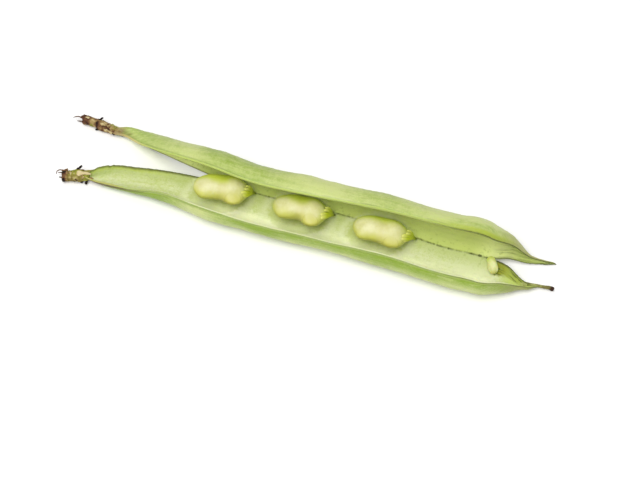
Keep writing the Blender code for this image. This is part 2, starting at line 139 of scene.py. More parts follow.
def smooth(x, knots):
    """The values at x of a smooth curve through (x, value) knots, which never overshoots them."""
    knots = np.asarray(knots, float)
    at, value = knots[:, 0], knots[:, 1]
    gap = np.diff(at)
    slope = np.diff(value) / gap
    tangent = np.concatenate([slope[:1], np.zeros(len(at) - 2), slope[-1:]])
    for i in range(1, len(at) - 1):
        before, after = slope[i - 1], slope[i]
        mean = (before * gap[i] + after * gap[i - 1]) / (gap[i] + gap[i - 1])
        most = abs(mean) if before * after < 0 else 3 * min(abs(before), abs(after))
        tangent[i] = np.clip(mean, -most, most)
    x = np.clip(np.asarray(x, float), at[0], at[-1])
    i = np.clip(np.searchsorted(at, x) - 1, 0, len(at) - 2)
    s = (x - at[i]) / gap[i]
    return (
        (2 * s**3 - 3 * s**2 + 1) * value[i]
        + (s**3 - 2 * s**2 + s) * gap[i] * tangent[i]
        + (3 * s**2 - 2 * s**3) * value[i + 1]
        + (s**3 - s**2) * gap[i] * tangent[i + 1]
    )


def read(table, x, n):
    """The values at x of column n of a table whose first column is x."""
    return smooth(x, [(row[0], row[n]) for row in table])


def bump(value, middle, width):
    return np.exp(-(((value - middle) / width) ** 2))


def unit(vectors):
    return vectors / np.linalg.norm(vectors, axis=-1, keepdims=True)


def columns(at, reach, rows):
    """Each column of the rows at these places, where every row has its reach."""
    return [smooth(at, np.stack([reach, column], -1)) for column in rows.T]


def reach_along(points, axis=0):
    """How far along its row each point is."""
    steps = np.diff(points, axis=axis, prepend=points.take([0], axis))
    return np.cumsum(np.linalg.norm(steps, axis=-1), axis=axis)


def seam(x, valve):
    """Y and z of the valve's edge along the seam, torn or joined."""
    y, z = read(SEAM, x, 1), read(SEAM, x, 2)
    if valve == "rear":
        y = y + read(SPREAD, x, 1)
        z = z + read(SPREAD, x, 2)
    return np.stack([y, z], -1)


def axes(x, valve):
    """Chord, depth, and the unit directions along the chord and out of the wall, in y and z."""
    table, side = (FRONT, -1) if valve == "front" else (REAR, 1)
    chord, depth = read(table, x, 1), read(table, x, 3)
    for bean in BEANS:
        depth = depth * (1 + SWELL * bump(x, bean[0], SWELL_LENGTH))
    tilt = np.radians(read(table, x, 2))
    along = np.stack([side * np.cos(tilt), np.sin(tilt)], -1)
    out = np.stack([side * np.sin(tilt), -np.cos(tilt)], -1)
    return chord, depth, along, out


def outer(x, t, valve):
    """Points of the skin at each x and each t, from 0 at the seam to 1 at the rim."""
    chord, depth, along, out = axes(x, valve)
    across = (1 - np.cos(pi * t)) / 2
    down = np.sin(pi * t) ** (1 + (1 - t) ** 3)
    return (
        seam(x, valve)[:, None]
        + (chord[:, None] * across)[..., None] * along[:, None]
        + (depth[:, None] * down)[..., None] * out[:, None]
    )


def inward(x, t, valve):
    """Unit directions from the skin into the pod, in y and z."""
    small = 1e-4
    before = outer(x, np.clip(t - small, 0.02, 1 - small), valve)
    tangent = outer(x, np.clip(t + small, 0.02 + small, 1), valve) - before
    normal = unit(np.stack([tangent[..., 1], -tangent[..., 0]], -1))
    return normal if valve == "front" else -normal


def walls(x, t, valve):
    """The skin and the lining of a valve, as two grids of points. Both valves share the seam's."""
    skin = outer(x, t, valve)
    shared = unit(inward(x, t[:1], "front") + inward(x, t[:1], "rear"))
    near_seam = bump(t, 0, 0.12)[None, :, None]
    normal = unit(inward(x, t, valve) * (1 - near_seam) + shared * near_seam)
    thin = np.clip(axes(x, valve)[0] / THIN_CHORD, LEAST_WALL, 1)[:, None]
    thick = (RIM + (WALL - RIM) * np.sin(pi * t)) * thin
    lining = skin + thick[..., None] * normal
    xs = np.broadcast_to(x[:, None, None], skin.shape[:2] + (1,))
    return np.concatenate([xs, skin], -1), np.concatenate([xs, lining], -1)


def bean_frame(bean):
    """The bean's place: +X towards the tip, +Y towards the seam, +Z out of the front valve."""
    x, from_seam, height, turn, roll = bean[:5]
    step = 5
    at = seam(np.array([x - step, x, x + step]), "front")
    tip_way = Vector((2 * step, *(at[2] - at[0]))).normalized()
    along = Vector((0, *axes(np.array([x]), "front")[2][0]))
    along = (along - along.dot(tip_way) * tip_way).normalized()
    up = along.cross(tip_way)
    place = Vector((x, *at[1])) + from_seam * along + height * up
    basis = Matrix((tip_way, -along, up)).transposed().to_4x4()
    turned = Matrix.Rotation(np.radians(turn), 4, "Z") @ Matrix.Rotation(np.radians(roll), 4, "X")
    return np.array(Matrix.Translation(place) @ basis @ turned)


def lobe_and_notch(bean, x):
    """How far the bean's low side stands out at x of the unit sphere, by its lobe and notch."""
    return bean[5] * bump(x, LOBE_AT, LOBE_WIDTH) - bean[6] * bump(x, NOTCH_AT, NOTCH_WIDTH)


def bean_form(bean, places):
    """Where points of the unit sphere, with its poles along X, go on the bean."""
    x, y, z = places.T
    round_end = np.maximum(y * y + z * z, 1e-9) ** -0.1
    y, z = y * round_end, z * round_end
    bottom = smooth(x, BEAN_BOTTOM) + lobe_and_notch(bean, x)
    waist = 1 - BEAN_WAIST * bump(x, WAIST_AT, WAIST_WIDTH) * np.maximum(z, 0)
    return np.stack([
        BEAN_LENGTH / 2 * x,
        y * np.where(y > 0, smooth(x, BEAN_TOP), bottom) - BEAN_BEND * x * x,
        z * BEAN_THICK * (1 + BEAN_TAPER * x) * waist,
    ], -1)


def along_route(route, share):
    """Places on a smooth curve through the route's points, at shares of its length."""
    points = np.array(route, float)
    reach = reach_along(points)
    return np.stack(columns(share, reach / reach[-1], points), -1)


# Mesh helpers


def ease(value, start, end):
    """From 0 at start to 1 at end, with no corner."""
    s = np.clip((value - start) / (end - start), 0, 1)
    return s * s * (3 - 2 * s)


def waves(places, shortest, longest, seed, count=28):
    """A soft random field at the places, about -1 to 1, whose waves have lengths in that range."""
    draw = np.random.default_rng(seed)
    places = np.asarray(places, float)
    total = np.zeros(places.shape[:-1])
    for _ in range(count):
        way = draw.normal(size=places.shape[-1])
        way /= np.linalg.norm(way)
        length = np.exp(draw.uniform(np.log(shortest), np.log(longest)))
        total += np.cos(places @ (way * 2 * pi / length) + draw.uniform(0, 2 * pi))
    return total / np.sqrt(count) * 0.9


def put(name, data):
    """A new object in the scene."""
    thing = bpy.data.objects.new(name, data)
    bpy.context.scene.collection.objects.link(thing)
    return thing


class Form:
    """Closed bodies gathered into one mesh, with named values at each point."""

    def __init__(self):
        self.places, self.faces, self.values, self.count = [], [], [], 0

    def add(self, places, faces, **values):
        """Adds points, in a row or a grid, with their faces and the values at them."""
        shape = places.shape[:-1]
        self.places.append(places.reshape(-1, 3))
        self.faces += [[corner + self.count for corner in face] for face in faces]
        self.values.append({
            name: np.broadcast_to(np.asarray(value, float), shape).ravel()
            for name, value in values.items()
        })
        self.count += len(self.places[-1])

    def make(self, name, material, slot, node=None):
        """The mesh object, in metres in the final frame. It rides on the root for its node."""
        node = node or name
        mesh = bpy.data.meshes.new(name)
        places = np.concatenate(self.places)
        places[:, 2] = np.maximum(places[:, 2], 0)
        mesh.from_pydata(((places - ORIGIN) * MM).tolist(), [], self.faces)
        for kind in self.values[0]:
            layer = mesh.attributes.new(kind, "FLOAT", "POINT")
            layer.data.foreach_set("value", np.concatenate([v[kind] for v in self.values]))
        mesh.materials.append(material)
        mesh.shade_smooth()
        mesh.update()
        piece = put(name, mesh)
        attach(piece, "root")
        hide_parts(node)
        return piece


def strip(one, other):
    """Quads between two rows of points, given by number."""
    return [[a, b, d, c] for a, b, c, d in zip(one, other, one[1:], other[1:])]


def tube_faces(rings, sides):
    """Faces of a closed body of rings, whose two last points are its ends."""
    number = np.arange(rings * sides).reshape(rings, sides).tolist()
    number = [ring + ring[:1] for ring in number]
    faces = [face for a, b in zip(number, number[1:]) for face in strip(a, b)]
    first, last = rings * sides, rings * sides + 1
    for k in range(sides):
        faces.append([first, number[0][k], number[0][k + 1]])
        faces.append([last, number[-1][k + 1], number[-1][k]])
    return faces


def normals_of(grid):
    """Unit normals of a grid of points, from its two directions."""
    normal = np.cross(np.gradient(grid, axis=0), np.gradient(grid, axis=1))
    return normal / np.maximum(np.linalg.norm(normal, axis=-1, keepdims=True), 1e-9)


def ways_along(route, share, up):
    """Places on the route, with the unit directions to its side and over it."""
    tangent = along_route(route, share + 0.05) - along_route(route, share - 0.05)
    side = unit(np.cross(tangent, up))
    return along_route(route, share), side, unit(np.cross(side, tangent))


def swept(route, profile, rings, sides, up, relief, flatness=1):
    """A body round a route, closed at both ends. It gives points, faces, shares and turns."""
    profile = np.array(profile, float)
    reach = reach_along(profile * (8, 1))
    at = np.linspace(0, reach[-1], rings)
    share, half = columns(at, reach, profile)
    centre, side, over = ways_along(route, share, up)
    turn = np.arange(sides) * 2 * pi / sides
    reach = half[:, None] * relief(share[:, None], turn[None])
    places = (
        centre[:, None]
        + (reach * np.cos(turn))[..., None] * side[:, None]
        + (flatness * reach * np.sin(turn))[..., None] * over[:, None]
    )
    places = np.concatenate([places.reshape(-1, 3), centre[:1], centre[-1:]])
    shares = np.concatenate([np.repeat(share, sides), [share[0], share[-1]]])
    turns = np.concatenate([np.tile(turn, rings), [0, 0]])
    return places, tube_faces(rings, sides), shares, turns


def rippled(*waves_of):
    """A relief of waves: each one's height, number round the body and along it, and phase."""
    return lambda share, turn: 1 + sum(
        height * np.sin(around * turn + along * share + phase)
        for height, around, along, phase in waves_of
    )


def transformed(places, matrix):
    return places @ matrix[:3, :3].T + matrix[:3, 3]


def seated(places, body, depth):
    """The places, with those deeper than depth inside the body moved out to that depth."""
    moved = places.copy()
    for n, place in enumerate(places):
        near, normal, _, _ = body.find_nearest(Vector(place))
        if (Vector(place) - near).dot(normal) < -depth:
            moved[n] = near - depth * normal
    return moved


# Shell


# Sections before, in and after the joined part, and points across a wall, a lip and a torn edge
SHELL_STEM, SHELL_MIDDLE, SHELL_TIP = 104, 150, 46
WALL_ROWS, LIP_ROWS, TORN_ROWS = 54, 7, 3
# Past the solids' ends each valve is drawn out to a point inside what it grows into:
# the end's x, the drawn end's place and the share of the section that is left there
DRAWN = {
    "front": [(-102.5, (-105.2, 1.9, 3), 0.55), (86, (90.6, 10.2, 2.1), 0.3)],
    "rear": [(-100.5, (-103.2, 27.5, 2.7), 0.6), (92.5, (94.4, 22.9, 0.8), 0.16)],
}
# How strong the dark crease is along the seam
CREASE = [
    (-42, 0.2), (-35, 0.8), (-25, 0.7), (-21, 0.2), (-3, 0.2), (2, 0.8), (8, 0.7), (12, 0.2),
    (33, 0.2), (38, 0.9), (47, 0.9), (54, 0.6), (58, 0.5), (60, 1.2), (67, 1.3), (70, 1),
]
# How pale the bloom on a valve's skin and the velvet and the pillows of the lining are
BLOOM = {
    "front": [
        (-100, 0), (-74, 0), (-62, 0.5), (-54, 0.9), (-42, 0.5), (-28, 0.1), (0, 0.3),
        (30, 0.1), (46, 0.25), (66, 0.3), (84, 0.1),
    ],
    "rear": [
        (-100, 0.45), (-93, 0.5), (-87, 0.45), (-78, 0.5), (-66, 0.75), (-48, 0.4), (-22, 0.6),
        (0, 0.95), (21, 0.6), (43, 0.8), (60, 0.6), (75, 0.45), (90, 0.3),
    ],
}
VELVET = [
    (-100, 0.6), (-60, 0.5), (-35, 0.5), (0, 0.55), (35, 0.7), (55, 0.85), (68, 1), (74, 0.6),
    (80, 0),
]
# The pillows are partly the lining's own pale colour and partly painted light near the rim, where the
# trough is shaded
PILLOW = [
    (-66, 0), (-46, 0.9), (-24, 0.9), (-14, 0.45), (-2, 0.4), (8, 0.7), (20, 0.9), (34, 0.8),
    (46, 0.55), (58, 0.5), (67, 0.9), (78, 0.6),
]
# The seats that the beans leave in the lining: how far their middle is from the bean's along the
# pod, and their half length, then each valve's middle and half width across it
SEAT_BACK, SEAT_LENGTH = 1.3, 11.8
SEAT_ACROSS = {"front": (2.2, 6.4), "rear": (-1, 7.4)}
FAR_OFF = 9


def shell_stations(valve):
    (_, first, _), (_, last, _) = DRAWN[valve]
    return np.concatenate([
        np.linspace(first[0], STEM_SPLIT, SHELL_STEM, endpoint=False),
        np.linspace(STEM_SPLIT, TIP_SPLIT, SHELL_MIDDLE, endpoint=False),
        np.linspace(TIP_SPLIT, last[0], SHELL_TIP),
    ])


def drawn_out(x, skin, lining, valve):
    """The two walls, whose sections past the solids' ends shrink round the way to the point."""
    for end, point, left in DRAWN[valve]:
        past = np.clip((x - end) / (point[0] - end), 0, 1)[:, None]
        share = (1 - (1 - left) * past**1.5)[..., None]
        middle = ((skin + lining) / 2).mean(1)
        goal = middle * (1 - past) + np.array(point) * past
        goal[:, 0] = x
        skin = goal[:, None] + (skin - middle[:, None]) * share
        lining = goal[:, None] + (lining - middle[:, None]) * share
    return skin, lining


def seat_distance(grid, valve):
    """How far each point is from the middle of the nearest bean's seat: 1 is on its outline."""
    nearest = np.full(grid.shape[:-1], FAR_OFF)
    middle, half_width = SEAT_ACROSS[valve]
    for bean in BEANS:
        local = transformed(grid, np.linalg.inv(bean_frame(bean)))
        along, across = local[..., 0] + SEAT_BACK, local[..., 1] - middle
        nearest = np.minimum(nearest, np.hypot(along / SEAT_LENGTH, across / half_width))
    return nearest


def rows_over(one, other, way, rows, bulge):
    """Rows of points on an arc from one edge to the other, which stands out by its bulge."""
    middle, arm = (one + other) / 2, (one - other) / 2
    size = np.linalg.norm(arm, axis=-1, keepdims=True)
    angle = np.linspace(0, pi, rows + 2)[1:-1]
    return (
        middle[:, None]
        + np.cos(angle)[:, None] * arm[:, None]
        + (np.sin(angle)[:, None] * (size * bulge)[:, None]) * way[:, None]
    )


def valve_rows(valve):
    """A valve's x, where it is torn, and its grids of points with the values of the paint."""
    rear = valve == "rear"
    seed = 10 if rear else 20
    x, t = shell_stations(valve), np.linspace(0, 1, WALL_ROWS)
    skin, lining = drawn_out(x, *walls(x, t, valve), valve)
    along = axes(x, valve)[2]
    if rear:
        # The neck is a little narrower on the rim's side
        pull = 1.2 * bump(x, -97.5, 3.5)[:, None] * ease(t, 0.6, 1)
        inwards = pull[..., None] * along[:, None]
        skin[..., 1:] -= inwards
        lining[..., 1:] -= inwards
    from_seam = reach_along(skin[..., 1:], 1)
    from_rim = from_seam[:, -1:] - from_seam
    thick = np.linalg.norm(lining - skin, axis=-1)
    scale = np.clip(thick / WALL, 0.2, 1)
    out = normals_of(skin) * (1 if rear else -1)
    into = normals_of(lining) * (-1 if rear else 1)
    flat = np.stack([np.broadcast_to(x[:, None], from_seam.shape), from_seam], -1)
    torn = (x < STEM_SPLIT - 1e-6) | (x > TIP_SPLIT + 1e-6)
    split_off = np.where(x < 0, STEM_SPLIT - x, x - TIP_SPLIT)

    # The skin: slow unevenness, fine ribs along the pod, and a groove under the lip
    height = 0.13 * waves(flat, 7, 25, seed) + 0.03 * waves(flat / (14, 1), 0.9, 2.2, seed + 1)
    height += 0.04 * waves(flat, 1.5, 4, seed + 7)
    height += 0.1 * bump(from_rim, 0.5, 0.4) - 0.1 * bump(from_rim, 1.25, 0.45)
    skin = skin + (height * ease(from_seam, 0, 3) * scale)[..., None] * out
    skin[..., 2] = np.maximum(skin[..., 2], 0)

    # The lining: a rise round the front seats, a crease along the seam and a soft unevenness
    seat = seat_distance(lining, valve)
    height = 0.1 * waves(flat, 3, 14, seed + 2) + 0.05 * waves(flat, 0.8, 2, seed + 3)
    if not rear:
        height += 0.2 * bump(seat, 1.25, 0.15)
    height *= ease(from_seam, 0, 1)
    dash = np.clip(0.65 + 0.4 * waves(x[:, None], 1.2, 5, 31), 0, 1.3)
    crease = smooth(x, CREASE) * dash
    joined = (x >= STEM_SPLIT) & (x <= TIP_SPLIT + 2)
    fold = 0.4 * bump(from_seam, 0, 0.35) - 0.1 * bump(from_seam, 1.1, 0.5)
    height -= (crease * joined)[:, None] * fold
    lining = lining + (height * scale)[..., None] * into

    # The torn edges are a little ragged
    ragged = 0.1 * waves(x[:, None], 1, 5, seed + 6) * ease(split_off, 0, 4)
    ragged += 0.35 * waves(x[:, None], 0.7, 2.5, seed + 8) * ease(x, -93, -98)
    if not rear:
        ragged += 0.5 * bump(x, -80, 14) + 0.8 * bump(x, -99.5, 3)
    shift = (ragged[:, None] * bump(from_seam, 0, 1.2))[..., None] * -along[:, None]
    skin[..., 1:] += shift
    lining[..., 1:] += shift
    way = np.concatenate([np.zeros((len(x), 1)), along], 1)
    lip = rows_over(skin[:, -1], lining[:, -1], way, LIP_ROWS, np.full((len(x), 1), 0.8))
    bulge = 0.5 * ease(split_off, 0, 3)[:, None]
    tear = rows_over(skin[:, 0], lining[:, 0], -way, TORN_ROWS, bulge)

    # What the paint reads: the same across a section, then each grid's own
    by_length = dict(
        length=x, bloom=smooth(x, BLOOM[valve]), velvet=smooth(x, VELVET),
        pillow=smooth(x, PILLOW), crease=crease * ~torn, torn=ease(split_off, 0, 3),
        rear=np.full(len(x), rear),
    )
    by_length = {name: value[:, None] for name, value in by_length.items()}
    half = thick[:, -1:] / 2
    lip_turn = np.linspace(-1, 1, LIP_ROWS + 2)[1:-1]
    tear_turn = np.linspace(0, 1, TORN_ROWS + 2)[1:-1]
    names = ("rim", "edge", "inside", "seat")
    rows = [
        (skin, -half - from_rim, from_seam, 0, FAR_OFF),
        (lip, half * lip_turn, from_seam[:, -1:], (lip_turn + 1) / 2, FAR_OFF),
        (lining[:, ::-1], (half + from_rim)[:, ::-1], from_seam[:, ::-1], 1, seat[:, ::-1]),
        (tear[:, ::-1], 20, 0, 1 - tear_turn, FAR_OFF),
    ]
    return x, torn, [(grid, {**by_length, **dict(zip(names, own))}) for grid, *own in rows]


def shell():
    """Both valves as one closed wall: skin, rounded lip, lining and torn edges."""
    form = Form()
    shared = {}
    for valve, turn in (("front", 1), ("rear", -1)):
        x, torn, rows = valve_rows(valve)
        numbers = []
        for grid, values in rows:
            size = grid.shape[:2]
            numbers.append((form.count + np.arange(size[0] * size[1]).reshape(size)).tolist())
            form.add(grid, [], **values)
        skin, lip, lining, tear = numbers

        # Where the valves are joined, the rear one uses the front one's points on the seam
        for i in np.flatnonzero(~torn):
            own = (skin[i][0], lining[i][-1], tear[i])
            skin[i][0], lining[i][-1], tear[i] = shared.setdefault(round(float(x[i]), 3), own)
        sections = [skin[i] + lip[i] + lining[i] for i in range(len(x))]
        for i in range(len(x) - 1):
            one, other = sections[i], sections[i + 1]
            if torn[i] or torn[i + 1]:
                one, other = one + tear[i] + one[:1], other + tear[i + 1] + other[:1]
            form.faces += [face[::turn] for face in strip(one, other)]
        for i, way in ((0, -turn), (len(x) - 1, turn)):
            rim_end = [skin[i][-1]] + lip[i] + [lining[i][0]]
            tear_end = [lining[i][-1]] + tear[i] + [skin[i][0]]
            cap = strip(skin[i], lining[i][::-1]) + [rim_end[::-1], tear_end[::-1]]
            form.faces += [face[::way] for face in cap]
    return form


def tidy(piece):
    """Drops points that no face uses and turns every face outwards."""
    bm = bmesh.new()
    bm.from_mesh(piece.data)
    bmesh.ops.delete(bm, geom=[v for v in bm.verts if not v.link_faces], context="VERTS")
    bmesh.ops.recalc_face_normals(bm, faces=bm.faces)
    bm.to_mesh(piece.data)
    bm.free()


# Beans and what holds them


# How many rings and points round them each mesh has
BEAN_MESH, FINGER_MESH, SMALL_BEAN_MESH = (120, 80), (44, 26), (60, 60)
BEAN_BREADTH = 6.3
# The fingers of a stalk: where each starts on the route, how far off it to the side and over
# it, and its half width
FINGERS = [
    (0, 0.55, 0.1, 0.85), (0.02, -0.75, 0.3, 0.8), (0.18, -2, 0.8, 0.6), (0.22, -3, 0.9, 0.5),
    (0.12, 1.2, -0.2, 0.5),
]
# Half width at a finger's end, the random part of its place, flatness, and depth in its bean
FINGER_END, FINGER_BEND, FINGER_FLATNESS, FINGER_DEPTH = 0.35, 0.25, 0.85, 0.05


def sphere(rings, sides):
    """Points of a unit sphere with its poles along X, and its faces."""
    polar = np.linspace(0, pi, rings + 2)[1:-1, None]
    turn = np.arange(sides) * 2 * pi / sides
    across = np.broadcast_to(np.cos(polar), (rings, sides))
    ring = np.stack([across, np.sin(polar) * np.cos(turn), np.sin(polar) * np.sin(turn)], -1)
    return np.concatenate([ring.reshape(-1, 3), [[1, 0, 0], [-1, 0, 0]]]), tube_faces(rings, sides)


def bean(number, place, material):
    places, faces = sphere(*BEAN_MESH)
    local = bean_form(place, places)
    # On top the lobe and the notch fade, and the low side slopes away more than the solid's does
    extra = lobe_and_notch(place, places[:, 0]) * 0.8 * ease(places[:, 2], 0, 0.7)
    local[:, 1] -= np.minimum(places[:, 1], 0) * extra
    slope = ease(-local[:, 1], 1, 9) * (local[:, 2] > 0)
    local[:, 2] *= 1 - 0.35 * slope
    broader = 0.5 * bump(local[:, 0], 3, 1.8) + 0.7 * bump(local[:, 0], 8.8, 1.6)
    broader += bump(local[:, 0], -8.6, 2.4)
    local[:, 1] -= broader * ease(-local[:, 1], 0.5, 4.5)
    normal = unit(places / (BEAN_LENGTH / 2, BEAN_BREADTH, BEAN_THICK))
    x, y, z = local.T
    # The lobe of the root is at the low corner
    lobe = np.hypot((x - 5.4) / 3.4, (y + 7.4) / 2.6)
    # Two soft bulges on top, in a slow unevenness
    height = 0.08 * waves(local, 5, 12, 40 + number) + 0.02 * waves(local, 1.2, 3, 50 + number)
    height += 0.4 * bump(x, -5.2, 4) * bump(y, 1, 3.5)
    height += 0.75 * bump(x, 5.2, 3) * bump(y, 0.5, 3.2)
    local = local + height[:, None] * normal
    # Where the painted green shade under the rear valve's lip is strongest along the bean; the third
    # bean gets little of it
    patch = bump(x, -0.8 + waves(local, 4, 9, 60), 5) * (0.2 if number == 3 else 1)
    form = Form()
    form.add(
        transformed(local, bean_frame(place)), faces, length=x, across=y, height=z,
        lobe=lobe, patch=patch,
    )
    return form.make(f"bean_{number}", material, "bean")


def tree_of(piece):
    """The piece's surface, in millimetres in the first frame."""
    places = [Vector(np.array(v.co) / MM + ORIGIN) for v in piece.data.vertices]
    return BVHTree.FromPolygons(places, [p.vertices[:] for p in piece.data.polygons])


def stalk(number, body, material):
    """A stalk whose fingers spread over the end of its bean and meet at the seam."""
    route = STALK_ROUTES[number - 1]
    draw = np.random.default_rng(80 + number)
    tree = tree_of(body)
    form = Form()
    for start, aside, over_by, half in FINGERS:
        share = start + (1 - start) * np.linspace(0, 1, 9)
        path, side, over = ways_along(route, share, STALK_UP)
        spread = 1 - ease(share, start, 0.95)
        bend = draw.uniform(-FINGER_BEND, FINGER_BEND, 2)
        path = path + (spread * (aside + bend[0]))[:, None] * side
        path += (spread * (over_by + bend[1]))[:, None] * over
        profile = [
            (0, half * 0.35), (0.04, half * 0.8), (0.14, half), (0.4, half * 0.92),
            (0.75, (half + FINGER_END) / 2), (0.96, FINGER_END), (1, FINGER_END * 0.5),
        ]
        phase = draw.uniform(0, 6)
        uneven = rippled((0.05, 2, 7, phase), (0.03, 5, 0, phase))
        places, faces, part, _ = swept(
            path, profile, *FINGER_MESH, STALK_UP, uneven, FINGER_FLATNESS
        )
        places = seated(places, tree, FINGER_DEPTH)
        form.add(places, faces, share=start + (1 - start) * part, start=start)
    form.make(f"funicle_{number}", material, "stalk")


def small_bean(material):
    uneven = rippled((0.06, 2, 5, 0), (0.04, 5, -9, 0))
    places, faces, share, _ = swept(
        SMALL_BEAN_ROUTE, SMALL_BEAN_PROFILE, *SMALL_BEAN_MESH, SMALL_BEAN_UP, uneven,
        SMALL_BEAN_FLATNESS,
    )
    form = Form()
    form.add(places, faces, share=share)
    form.make("undeveloped_bean", material, "small_bean")


# Dried ends and style


CORE_RINGS, BIT_MESH, STYLE_MESH = 110, (40, 16), (100, 44)
BIT_UP, FLAKES = (0.1, -0.4, 1), 34
# Patches on the dried ends: share of the core's length, degrees round it, how wide each way,
# and what they add to the tone and to the green
FRONT_PATCHES = [
    (0.04, 110, 0.16, 110, 0, 0.8), (0.5, 55, 0.18, 45, 0, 0.85), (0.56, 80, 0.05, 22, 0.25, 0.3),
    (0.45, 175, 0.2, 30, -0.2, 0), (0.6, 215, 0.2, 30, -0.3, 0), (0.88, 60, 0.07, 50, 0.5, 0),
    (0.86, 150, 0.05, 50, -0.2, 0), (0.93, 200, 0.06, 30, 0.75, 0), (0.14, 215, 0.09, 35, 0.8, 0),
    (0.34, 225, 0.06, 25, 0.7, 0), (0.76, 120, 0.03, 90, 0.35, 0), (0.34, 130, 0.04, 40, 0.3, 0),
    (1, 120, 0.05, 180, 0.35, 0), (0.62, 150, 0.03, 30, 0.4, 0), (0.9, 90, 0.08, 150, 0.25, -0.4),
]
REAR_PATCHES = [
    (0.04, 190, 0.1, 60, 0.45, 0), (0.02, 60, 0.1, 60, 0, 0.8), (0.2, 150, 0.05, 30, 0.35, 0),
    (0.3, 100, 0.05, 30, -0.25, 0), (0.36, 180, 0.04, 40, 0.45, 0), (0.46, 60, 0.04, 40, -0.12, 0),
    (0.55, 130, 0.035, 60, 0.45, 0), (0.57, 225, 0.05, 40, 0.6, 0), (0.7, 190, 0.08, 40, 0, 0.9),
    (0.72, 90, 0.09, 50, -0.12, 0), (0.84, 110, 0.05, 80, 0.2, 0), (0.95, 120, 0.15, 180, 0.3, 0),
]
# Loose bits: half thickness at both ends, flatness, tone and green, then the points
FRONT_BITS = [
    (0.5, 0.48, 0.8, 1.1, 0, (-108.7, 2.6, 4.7), (-108, 3.6, 5.2), (-107.2, 4.7, 5.8)),
    (0.6, 0.4, 0.9, 1, 0, (-106.4, 0.9, 1.9), (-106, 0.1, 1.3), (-106, -0.8, 0.9)),
    (0.6, 0.45, 0.9, 1.1, 0, (-104.6, 1.6, 2.2), (-103.9, 0.2, 1.6), (-104.1, -0.9, 0.9)),
    (0.3, 0.14, 1, 0.6, 0, (-112.9, 0.7, 4), (-115.4, 0.6, 4.6), (-116.6, -0.4, 4.6),
     (-116.5, -1.7, 4.1)),
    (0.32, 0.15, 1, 0.75, 0, (-112.8, -0.3, 3), (-115, 0.1, 3.4), (-116.4, -0.4, 3.5)),
    (0.35, 0.2, 1, 0.9, 0, (-112.8, -1.5, 2.6), (-114.4, -1.6, 2.4), (-115.6, -1.6, 2.2)),
    (0.4, 0.15, 0.8, 0.55, 0, (-109, 1.9, 4.6), (-107.4, 2.9, 4.9), (-105.6, 3.4, 5)),
    (0.85, 0.4, 0.5, -0.05, 0.1, (-108, 0.5, 5.3), (-106.4, 1.3, 5.4), (-104.4, 2, 5.1),
     (-102.4, 2.6, 4.5)),
    (0.7, 0.25, 0.45, 0.2, 0.5, (-107.6, 1.9, 4), (-104.8, 3.5, 4.2), (-102.2, 4.9, 4.2)),
    (0.75, 0.25, 0.5, 0.25, 0.1, (-106.9, 0.1, 3.4), (-104.2, 1.2, 3), (-101.4, 2, 2.3)),
    (0.45, 0.3, 1, 1, 0, (-113.2, -2.4, 3.8), (-112.9, -2.9, 2.7), (-113.3, -2.6, 1.8),
     (-113.9, -1.9, 1.8)),
    (0.5, 0.25, 0.5, 0.5, 0, (-112.4, 1.3, 4.6), (-113.2, 0.9, 5.2), (-113.8, 0.1, 5.1)),
]
REAR_BITS = [
    (0.5, 0.35, 0.9, 1.1, 0, (-109.6, 29.3, 3.8), (-109.1, 30.2, 4.6), (-108.3, 30.7, 5.1)),
    (0.55, 0.35, 0.9, 1, 0, (-109.5, 27.5, 1.6), (-109.9, 26.8, 1.1), (-110.9, 26.5, 0.8)),
    (0.42, 0.12, 1, 0.62, 0, (-115.6, 29.1, 3), (-118, 29, 3.3), (-119.8, 29.2, 3), (-121.9, 28.3, 2.5)),
    (0.42, 0.12, 1, 0.7, 0, (-115.8, 28.1, 1.8), (-117.9, 28.2, 1.5), (-120.1, 28, 1.2)),
    (0.3, 0.15, 0.8, 0.45, 0, (-105.6, 28.2, 4.2), (-105, 28.6, 4.8), (-104.3, 28.7, 5.2)),
    (0.8, 0.12, 0.5, 0.55, 0, (-104.9, 27.3, 2.9), (-101.9, 26.8, 2.7), (-99.4, 26.4, 2.4),
     (-97.6, 25.9, 2.1)),
    (0.8, 0.25, 0.4, 0.3, 0.3, (-103.8, 27.3, 4.2), (-101, 26.9, 4.3), (-98.4, 26.6, 4.1)),
    (0.7, 0.25, 0.45, 0.1, 0.6, (-104.4, 28.6, 3.6), (-101.4, 28.5, 3.8), (-99.2, 28.3, 4)),
    (0.7, 0.3, 0.5, 0.15, 0, (-108.6, 27.4, 4), (-107, 27.8, 4.6), (-105.2, 27.3, 4.5)),
    (0.5, 0.3, 0.5, 0.85, 0, (-110.4, 28.2, 4.6), (-109.6, 27.4, 4.3), (-109.4, 26.7, 3.2)),
    (0.6, 0.3, 0.6, 0.75, 0, (-116.8, 29.9, 3.4), (-117.9, 29.9, 3), (-118.6, 29.4, 2.4)),
]


def dried_bit(form, points, first, last, flatness, tone, green, up, seed):
    """A tapered tooth, blade or fibre with rounded ends."""
    middle = (first + last) / 2
    profile = [(0, first * 0.6), (0.04, first), (0.5, middle), (0.95, last), (1, last * 0.5)]
    knots = rippled((0.1, 2, 13, seed), (0.07, 6, 0, seed))
    places, faces, share, turn = swept(points, profile, *BIT_MESH, up, knots, flatness)
    tone = tone + 0.08 * waves(places, 0.5, 2, 90)
    form.add(places, faces, tone=tone, green=green, share=share * 6 + seed, turn=turn)


